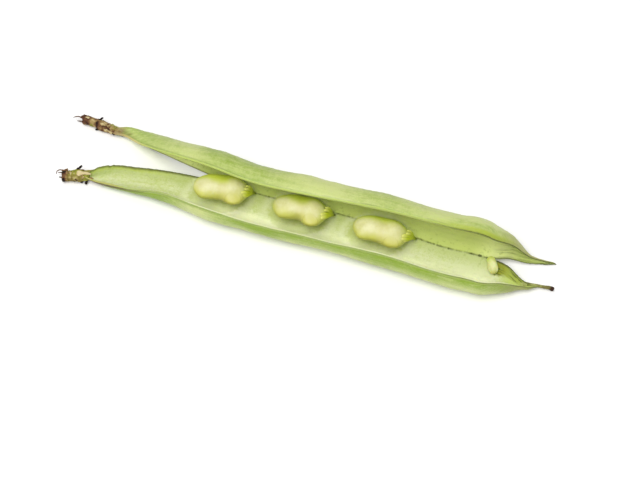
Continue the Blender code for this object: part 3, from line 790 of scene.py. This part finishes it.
def flakes(form, route, profile, seed):
    """Scraps of skin that peel off a core, at random places round it."""
    draw = np.random.default_rng(seed)
    outside = profile[:[share for share, _ in profile].index(1) + 1]
    for number in range(FLAKES):
        start, turn = draw.uniform(0, 0.9), draw.uniform(0, 2 * pi)
        reach = draw.uniform(0.08, 0.2) * draw.choice([-1, 1])
        drift = draw.uniform(-0.5, 0.5)
        lift = draw.uniform(0.05, 0.4)
        points = []
        for part in (0, 0.5, 1):
            share = float(np.clip(start + reach * part, 0, 1))
            angle = turn + drift * part
            half = float(smooth(share, outside)) - 0.1 + lift * part * part
            away = np.array([0, np.cos(angle), np.sin(angle)])
            points.append(tuple(along_route(route, np.array([share]))[0] + half * away))
        width = draw.uniform(0.25, 0.6)
        tone = draw.choice([0, 0.15, 0.3, 0.5, 0.7, 0.95], p=[0.2, 0.2, 0.2, 0.15, 0.15, 0.1])
        dried_bit(form, points, width, width * 0.5, 0.4, tone, 0, tuple(away), number)


def dried_end(name, route, profile, sides, seed, base_green, patches, bits, material):
    """A fibrous core whose end is a ragged hollow, with its loose bits and flakes."""
    form = Form()
    length = np.linalg.norm(np.array(route[-1]) - np.array(route[0]))

    def places_on(share, turn):
        share, turn = np.broadcast_arrays(share, turn)
        return np.stack([share * length / 2.2, np.cos(turn) * 2, np.sin(turn) * 2], -1)

    def fibres(share, turn):
        ring = places_on(share, turn)
        knob = waves(ring, 1.5, 5, seed)
        thread = waves(ring * (0.5, 1, 1), 0.45, 0.9, seed + 1)
        torn = 0.25 * waves(ring * (0, 1, 1), 0.8, 2.5, seed + 2) * ease(share, 0.85, 1)
        return 1 + 0.11 * knob + 0.06 * thread + torn

    places, faces, share, turn = swept(route, profile, CORE_RINGS, sides, UP, fibres)
    tone = 0.33 + 0.16 * waves(places_on(share, turn), 1, 3, seed + 3)
    green = base_green
    for at, degrees, wide, round_wide, darker, greener in patches:
        off = np.angle(np.exp(1j * (turn - np.radians(degrees))))
        patch = bump(share, at, wide) * bump(off, 0, np.radians(round_wide))
        tone = tone + darker * patch
        green = green + greener * patch
    form.add(places, faces, tone=tone, green=green, share=share * length, turn=turn * 2)
    for number, (first, last, flatness, tone, green, *points) in enumerate(bits):
        dried_bit(form, points, first, last, flatness, tone, green, BIT_UP, number * 1.7)
    flakes(form, route, profile, seed + 5)
    form.make(name, material, "dried")


def style(material):
    """The withered style, whose end is a dark ring round a pale hollow."""
    fibres = rippled((0.08, 5, 6, 0), (0.05, 11, -9, 0))
    places, faces, share, turn = swept(STYLE_ROUTE, STYLE_PROFILE, *STYLE_MESH, UP, fibres)
    inside = np.arange(len(places)) > 0.93 * len(places)
    tone = 0.05 + 0.5 * share + 0.75 * ease(share, 0.84, 0.98) + 0.1 * waves(places, 0.6, 2.5, 95)
    tone = np.where(inside, 0.3, tone)
    form = Form()
    form.add(places, faces, tone=tone, green=0, share=share * 10, turn=turn)
    form.make("style", material, "style")


# Paint


def srgb(red, green, blue):
    """A colour picked as 0 to 255 on a screen, as the linear one that the shader takes."""
    made = []
    for level in (red / 255, green / 255, blue / 255):
        made.append(level / 12.92 if level <= 0.04045 else ((level + 0.055) / 1.055) ** 2.4)
    return (*made, 1)


class Paint:
    """One material's node tree, built in short calls.

    A value is a socket or a constant, and a colour is a socket or three levels of a screen.
    """

    def __init__(self, name, **fixed):
        self.material = bpy.data.materials.new(name)
        self.material.use_nodes = True
        self.tree = self.material.node_tree
        self.shader = self.tree.nodes["Principled BSDF"]
        for socket, value in fixed.items():
            self.shader.inputs[socket.replace("_", " ")].default_value = value

    def node(self, kind, inputs, output=0, **settings):
        """An output of a new node, whose inputs are links or constants."""
        node = self.tree.nodes.new(kind)
        for name, value in settings.items():
            setattr(node, name, value)
        for socket, value in inputs.items():
            if isinstance(value, bpy.types.NodeSocket):
                self.tree.links.new(value, node.inputs[socket])
            else:
                node.inputs[socket].default_value = value
        return node.outputs[output]

    def values(self, names):
        """The named values of the mesh's points."""
        return [
            self.node("ShaderNodeAttribute", {}, "Fac", attribute_name=name)
            for name in names.split()
        ]

    def maths(self, operation, a, b):
        return self.node("ShaderNodeMath", {0: a, 1: b}, operation=operation)

    def times(self, *parts):
        return reduce(lambda a, b: self.maths("MULTIPLY", a, b), parts)

    def plus(self, *parts):
        return reduce(lambda a, b: self.maths("ADD", a, b), parts)

    def between(self, share, low, high):
        return self.plus(low, self.times(share, high - low))

    def vector(self, x, y, z):
        return self.node("ShaderNodeCombineXYZ", {0: x, 1: y, 2: z})

    def places(self):
        """The object's own coordinates, in millimetres."""
        place = self.node("ShaderNodeTexCoord", {}, "Object")
        return self.node("ShaderNodeVectorMath", {0: place, "Scale": 1 / MM}, operation="SCALE")

    def noise(self, vector, scale, detail=3, roughness=0.55):
        inputs = {"Vector": vector, "Scale": scale, "Detail": detail, "Roughness": roughness}
        return self.node("ShaderNodeTexNoise", inputs, "Fac")

    def swayed(self, value, *parts):
        """The value with noises added, each about its middle and times its strength."""
        for noise, strength in parts:
            value = self.plus(value, self.times(self.maths("SUBTRACT", noise, 0.5), strength))
        return value

    def band(self, value, start=0, end=1, low=0, high=1):
        """From low at start to high at end, with no corner."""
        inputs = {
            "Value": value, "From Min": start, "From Max": end, "To Min": low, "To Max": high,
        }
        return self.node("ShaderNodeMapRange", inputs, "Result", interpolation_type="SMOOTHSTEP")

    def stripe(self, value, middle, width):
        """1 at the middle, falling to 0 at the width on both sides."""
        off = self.maths("ABSOLUTE", self.maths("SUBTRACT", value, middle), 0)
        return self.band(off, 0, width, 1, 0)

    def ramp(self, value, stops):
        colour = self.node("ShaderNodeValToRGB", {"Fac": value}, "Color")
        elements = colour.node.color_ramp.elements
        while len(elements) < len(stops):
            elements.new(0.5)
        for element, (at, levels) in zip(elements, stops):
            element.position = at
            element.color = srgb(*levels)
        return colour

    def mix(self, share, a, b):
        a, b = (srgb(*colour) if isinstance(colour, tuple) else colour for colour in (a, b))
        return self.node("ShaderNodeMix", {0: share, 6: a, 7: b}, 2, data_type="RGBA")

    def layers(self, colour, *layers):
        """The colour under others, each laid on as strongly as the product of its shares."""
        for over, *shares in layers:
            colour = self.mix(self.times(*shares), colour, over)
        return colour

    def feed(self, socket, value):
        self.tree.links.new(value, self.shader.inputs[socket])

    def colour(self, colour, *layers):
        self.feed("Base Color", self.layers(colour, *layers))

    def relief(self, height, distance, strength):
        inputs = {"Height": height, "Distance": distance * MM, "Strength": strength}
        self.feed("Normal", self.node("ShaderNodeBump", inputs, "Normal"))


def pod_paint():
    """Waxy skin under a pale bloom, with stripes under the lip, and a velvety pale lining."""
    p = Paint(
        "pod_wall", Subsurface_Weight=0.3, Subsurface_Scale=0.0018,
        Subsurface_Radius=(1, 1.3, 0.35), Specular_IOR_Level=0.35,
    )
    length, rim, edge, inside, rear, seat = p.values("length rim edge inside rear seat")
    bloom, velvet, pillow, crease, torn = p.values("bloom velvet pillow crease torn")

    def along(*limits):
        return p.band(length, *limits)

    front = p.maths("SUBTRACT", 1, rear)
    late = along(36, 62)
    far = p.times(rear, late)
    away = p.times(rear, 60)
    flat = p.vector(length, edge, away)
    blotch = p.noise(flat, 0.09)
    streak = p.noise(p.vector(p.times(length, 0.09), edge, away), 0.9, 4, 0.6)
    speck = p.noise(flat, 1.6, 4, 0.65)
    fleck = p.noise(flat, 0.55, 3, 0.6)
    near_lip = p.swayed(rim, (fleck, 0.8))
    near_seat = p.swayed(seat, (fleck, 0.3))
    drying = p.swayed(length, (streak, 12))
    lip = p.layers(
        p.mix(rear, (152, 170, 82), p.mix(late, (176, 192, 100), (150, 160, 72))),
        ((190, 178, 118), rear, p.band(p.swayed(length, (streak, 9)), -78, -93)),
    )

    # Skin: from green to the pale bloom, paler low on the front valve, and paler on the rear one's back
    # towards the tip, which is a painted sheen
    low = p.swayed(rim, (fleck, 4))
    pale = p.plus(
        p.swayed(bloom, (blotch, 0.8), (streak, 0.7), (speck, 0.6), (fleck, 0.6)),
        p.times(front, p.band(low, -2.5, -7, 0, 0.45), along(-48, -30)),
        # Painted sheen: the rear valve's back is paler towards the tip
        p.times(far, p.band(low, -5, -9, 0, 0.9)),
    )
    stem = p.band(p.swayed(length, (streak, 16)), -88, -101)
    skin = p.layers(
        p.mix(p.band(pale), (132, 158, 46), (194, 203, 132)),
        # A pale and a dark line under the lip, the lip, and what is burnt, bare or dry at the ends
        ((186, 198, 124), rear, p.stripe(near_lip, -3.2, 1.2), 0.3),
        ((104, 124, 40), p.stripe(near_lip, -1.5, 0.6), p.band(blotch, 0.4, 0.6, 0.1, 0.5)),
        (lip, p.band(rim, -1.5, -1)),
        ((92, 70, 38), stem, p.stripe(near_lip, -2.2, 2), 0.8),
        ((172, 166, 110), rear, p.band(p.swayed(length, (blotch, 8)), 68, 80, 0, 0.6)),
        ((150, 148, 92), front, p.band(drying, 70, 84, 0, 0.7)),
        ((148, 124, 78), p.band(p.swayed(drying, (speck, 5)), -95, -101.5, 0, 0.85)),
    )

    # Lining: greener by the seam, and duller on the rear valve
    pale = p.swayed(velvet, (blotch, 0.6), (speck, 0.9), (fleck, 0.9), (streak, 0.7))
    near = p.band(p.swayed(edge, (fleck, 5), (speck, 2.5)), 8, 0.5, 0, 0.6)
    inner = p.band(p.swayed(edge, (fleck, 4)), 7, 12)
    dull = p.layers(
        p.mix(p.band(p.swayed(edge, (streak, 8)), 4, 13), (184, 196, 106), (212, 221, 130)),
        # Painted light: the rear valve's inner wall is paler at the stem end and towards the tip, where
        # it lies in shade
        ((232, 240, 158), along(-52, -66)),
        ((226, 232, 160), along(58, 70, 0, 0.6)),
    )
    tip = p.mix(rear, (186, 200, 108), (182, 194, 108))
    # Painted shade: the pocket past the small bean, in its shadow, is dark green
    beyond = p.plus(p.swayed(edge, (fleck, 2.5)), p.times(length, 0.3))
    past = p.band(p.swayed(length, (fleck, 1.5)), 70.4, 71.8)
    pocket = p.times(p.band(beyond, 28, 26.4), past, front)
    deep = p.mix(along(72, 79), (138, 142, 26), (158, 170, 70))
    lined = p.mix(rear, pocket, along(66, 76, 0, 0.4))
    fresh = p.band(p.swayed(edge, (fleck, 1.5)), 2, 0.5, 0, 0.5)
    # Painted shade: darker round the beans' seats, as their contact shadow on the front lining and the
    # shadow behind them on the rear one
    seat_shade = p.times(p.band(p.swayed(seat, (fleck, 0.4)), 1.6, 1), p.between(rear, 0.4, 0.8))
    dark = p.times(crease, p.stripe(p.swayed(edge, (speck, 0.7)), 0, 0.7))
    verge = p.mix(along(-70, -50), (168, 182, 92), (236, 240, 196))
    # Painted shadow: on the rear valve towards the tip the lip's inner edge is dark, under the
    # overhanging rim
    verge = p.mix(rear, verge, p.mix(late, (150, 164, 66), (72, 80, 16)))
    lining = p.layers(
        p.mix(p.band(pale), (176, 189, 108), (206, 211, 168)),
        ((160, 174, 86), near),
        # Painted light: pale pillows near the rim, where the trough is shaded, over the lining's own
        # pale colour
        ((238, 242, 200), inner, p.swayed(pillow, (speck, 0.6))),
        ((190, 203, 126), p.band(near_seat, 1.1, 0.98, 0, 0.42), front),
        (dull, rear, 0.9),
        # The tip's end, with a green pocket past the small bean, painted as shade, and dark lines
        (tip, along(71, 80)),
        (deep, pocket),
        ((84, 94, 22), p.band(streak, 0.5, 0.6), lined),
        # Spots and fresh green by the seam, painted shade and pale rings round the seats, the crease,
        # and the rim
        ((146, 162, 76), p.band(fleck, 0.54, 0.68, 0, 0.5), p.band(edge, 8, 2)),
        ((168, 184, 56), fresh, along(-64, -80), front),
        ((150, 158, 44), seat_shade, p.band(edge, 12, 6)),
        # Painted light: a pale ring on the rise round each seat
        ((228, 232, 200), p.stripe(near_seat, 1.2, 0.3), 0.35),
        ((70, 80, 22), p.maths("MINIMUM", dark, 0.9)),
        # The lip's inner edge: pale on the front, and a painted shadow on the rear valve towards the tip
        (verge, p.stripe(rim, 0.6, 0.55), 0.85),
        (lip, p.band(rim, 0.35, 0.05)),
    )

    # Both: dark lines on the lips, the rear one's by the tip a painted shadow under the overhanging rim,
    # a burnt front rim by the stem and scorched torn edges
    within = p.band(inside, 0.3, 0.7)
    ends = p.maths("MAXIMUM", along(46, 60), along(-66, -80))
    line = p.stripe(rim, -0.3, along(46, 62, 0.45, 0.7))
    seared = p.band(p.swayed(length, (fleck, 6)), -85, -92, 0, 0.9)
    charred = p.band(p.swayed(length, (fleck, 8)), -74, -90, 0, 0.95)
    frayed = p.stripe(p.swayed(rim, (speck, 0.6)), -1, 1.3)
    scorch = p.mix(along(-60, 60), (72, 76, 24), (38, 42, 8))
    ragged = p.stripe(p.swayed(edge, (fleck, 0.5)), 0, 0.9)
    p.colour(
        p.mix(within, skin, lining),
        (p.mix(ends, (112, 138, 48), (88, 92, 24)), front, line, p.between(ends, 0.65, 0.95)),
        ((180, 174, 98), front, seared, p.stripe(rim, 0.3, 0.6)),
        ((84, 60, 32), front, charred, frayed),
        ((164, 178, 56), far, p.stripe(near_lip, -1.9, 2), along(80, 68, 0, 0.85)),
        # Painted shadow: a dark line at the rear valve's rim towards the tip, under the overhanging rim
        ((70, 80, 14), far, p.stripe(rim, -0.1, 0.75)),
        (scorch, torn, ragged, p.band(inside, 1, 0.3, 0.75, 1)),
    )
    p.feed("Roughness", p.between(within, 0.45, 0.72))
    fuzz = p.noise(p.places(), 1.5, 5, 0.7)
    ribs = p.noise(p.vector(p.times(length, 0.05), edge, away), 2.2)
    p.relief(p.mix(within, ribs, fuzz), 0.25, 0.5)
    return p.material


def bean_paint():
    """Cream skin, with painted shade: greener on the seam's side under the rear valve's lip, golden
    where it tucks under and on the lobe, darker yellow-green at both ends, and darker in the waist and
    along the lobe's fold.
    """
    p = Paint(
        "bean_skin", Roughness=0.44, Subsurface_Weight=0.3, Subsurface_Scale=0.003,
        Subsurface_Radius=(1, 0.9, 0.45), Specular_IOR_Level=0.5,
    )
    length, across, height, lobe, patch = p.values("length across height lobe patch")
    cloud = p.noise(p.places(), 0.22)
    grain = p.noise(p.places(), 1.4, 4, 0.6)
    cloudy = p.times(cloud, 2)
    side = p.plus(across, cloudy)
    waist = p.stripe(p.swayed(length, (cloud, 4)), 0.8, 3.4)
    fold = p.stripe(p.swayed(lobe, (cloud, 0.3)), 1.02, 0.13)
    ends = (p.band(length, 7, 10.8, 0, 0.7), p.band(length, -8.5, -11.6, 0, 0.35))
    p.colour(
        p.mix(p.band(cloud, 0.35, 0.65), (201, 199, 138), (208, 206, 155)),
        ((186, 182, 116), p.band(grain, 0.45, 0.75, 0, 0.25)),
        # Painted shade: the underside and the low side, which face away from the light, are golden
        ((202, 202, 98), p.band(p.plus(height, cloudy), 3.8, 1.2)),
        ((188, 190, 90), p.band(side, -2, -5.5, 0, 0.6)),
        # Painted shade: both ends are darker yellow-green, the end by the stalk most
        ((186, 194, 88), p.maths("MAXIMUM", *ends)),
        # Painted shade: the waist between the two bulges is darker
        ((190, 184, 108), waist, p.band(across, 3.5, 0, 0, 0.45)),
        # Painted shade: green on the seam's side, under the rear valve's lip
        ((186, 200, 52), p.band(p.plus(side, p.times(patch, 2)), 0, 4, 0, 0.9)),
        # Painted shade: the lobe, which faces away from the light, is golden
        ((190, 184, 90), p.band(lobe, 1.7, 0.2, 0, 0.5)),
        # Painted shade: a dark line along the fold round the lobe
        ((160, 156, 62), fold, p.band(across, -4.5, -6, 0, 0.3)),
    )
    p.relief(p.noise(p.places(), 1.1), 0.05, 0.4)
    return p.material


def stalk_paint():
    """Moist yellow-green flesh, pale on the fingers' heads, darker towards the seam as painted shade,
    and with pale patches as painted highlights.
    """
    p = Paint("stalk_flesh", Roughness=0.5)
    share, start = p.values("share start")
    cloud = p.noise(p.places(), 0.8, 2)
    head = p.band(p.maths("SUBTRACT", share, start), 0.02, 0.3)
    p.colour(
        p.mix(head, (204, 206, 108), (176, 188, 30)),
        ((168, 182, 36), p.band(start, 0.1, 0.4, 0, 0.5)),
        # Painted shade: darker towards the seam, where the stalk runs in
        ((92, 108, 4), p.band(share, 0.5, 0.95)),
        # Painted highlights: pale patches
        ((200, 206, 84), p.band(cloud, 0.5, 0.8, 0, 0.3)),
    )
    p.relief(cloud, 0.05, 0.3)
    return p.material


def small_bean_paint():
    """Pale yellow flesh, greener at both ends."""
    p = Paint("small_bean_skin", Roughness=0.45, Subsurface_Weight=0.3, Subsurface_Scale=0.0015)
    (share,) = p.values("share")
    cloud = p.noise(p.places(), 0.7)
    p.colour(
        p.mix(p.band(cloud, 0.35, 0.65), (198, 202, 128), (208, 210, 152)),
        ((180, 192, 78), p.band(share, 0.45, 0.1, 0, 0.8)),
        ((190, 188, 84), p.band(share, 0.75, 1, 0, 0.7)),
    )
    p.relief(p.noise(p.places(), 2), 0.1, 0.4)
    return p.material


def dried_paint(name, stops):
    """Dry fibres: the tone and a streaky noise run through pale tan, brown and black."""
    p = Paint(name, Roughness=0.85, Specular_IOR_Level=0.2)
    tone, green, share, turn = p.values("tone green share turn")
    streak = p.noise(p.vector(p.times(share, 4), turn, 0), 2.2, 4, 0.7)
    blotch = p.noise(p.places(), 0.8, 3, 0.6)
    dry = p.ramp(p.swayed(tone, (streak, 0.5), (blotch, 0.7)), stops)
    fresh = p.mix(p.band(blotch, 0.3, 0.7), (112, 116, 34), (160, 160, 66))
    p.colour(dry, (fresh, p.band(green, 0.15, 0.75)))
    p.relief(streak, 0.3, 0.7)
    return p.material


DRIED_STOPS = [
    (0, (210, 194, 148)), (0.2, (164, 142, 92)), (0.38, (126, 98, 62)), (0.6, (98, 62, 42)),
    (0.9, (34, 24, 18)),
]
STYLE_STOPS = [(0, (170, 178, 106)), (0.35, (128, 124, 70)), (0.8, (60, 40, 28))]


# Camera, light and floor


TARGET = Vector((0.013, -0.0129, 0.008))
AZIMUTH, ELEVATION = np.radians(18), np.radians(60)
DISTANCE, LENS, SENSOR, NEAREST = 0.58, 80, 36, 0.01
KEY_PLACE, KEY_SIZE, KEY_POWER = Vector((-0.08, -0.44, 1.17)), 0.85, 13.6
KEY_COLOUR = (1, 0.99, 0.97)
SKY_STRENGTH = 0.55
FLOOR_REACH, FLOOR_GREY = 3, 0.92


def camera():
    data = bpy.data.cameras.new("camera")
    data.lens = LENS
    data.sensor_width = SENSOR
    data.clip_start = NEAREST
    eye = put("camera", data)
    level = np.cos(ELEVATION)
    back = Vector((np.sin(AZIMUTH) * level, -np.cos(AZIMUTH) * level, np.sin(ELEVATION)))
    eye.location = TARGET + DISTANCE * back
    eye.rotation_euler = back.to_track_quat("Z", "Y").to_euler()
    bpy.context.scene.camera = eye


def studio():
    world = bpy.data.worlds.new("studio")
    bpy.context.scene.world = world
    world.use_nodes = True
    sky = world.node_tree.nodes["Background"].inputs
    sky["Color"].default_value = (1, 1, 1, 1)
    sky["Strength"].default_value = SKY_STRENGTH
    bpy.context.scene.view_settings.view_transform = "Standard"

    data = bpy.data.lights.new("key", "AREA")
    data.shape = "DISK"
    data.size = KEY_SIZE
    data.energy = KEY_POWER
    data.color = KEY_COLOUR
    light = put("key", data)
    light.location = KEY_PLACE
    light.rotation_euler = (KEY_PLACE - TARGET).to_track_quat("Z", "Y").to_euler()

    mesh = bpy.data.meshes.new("floor")
    corners = [(-1, -1), (1, -1), (1, 1), (-1, 1)]
    mesh.from_pydata([(FLOOR_REACH * x, FLOOR_REACH * y, 0) for x, y in corners], [], [[0, 1, 2, 3]])
    grey = (FLOOR_GREY, FLOOR_GREY, FLOOR_GREY, 1)
    mesh.materials.append(Paint("floor", Roughness=0.6, Base_Color=grey).material)
    floor = put("floor", mesh)


camera()
studio()
tidy(shell().make("pod_wall", pod_paint(), "pod_skin", "pod_shell"))
bean_skin, stalk_flesh = bean_paint(), stalk_paint()
for number, place in enumerate(BEANS, 1):
    body = bean(number, place, bean_skin)
    stalk(number, body, stalk_flesh)
small_bean(small_bean_paint())
dried = dried_paint("dried_fibres", DRIED_STOPS)
dried_end("calyx_front", *FRONT_CORE, FRONT_PATCHES, FRONT_BITS, dried)
dried_end("calyx_rear", *REAR_CORE, REAR_PATCHES, REAR_BITS, dried)
style(dried_paint("style_fibres", STYLE_STOPS))
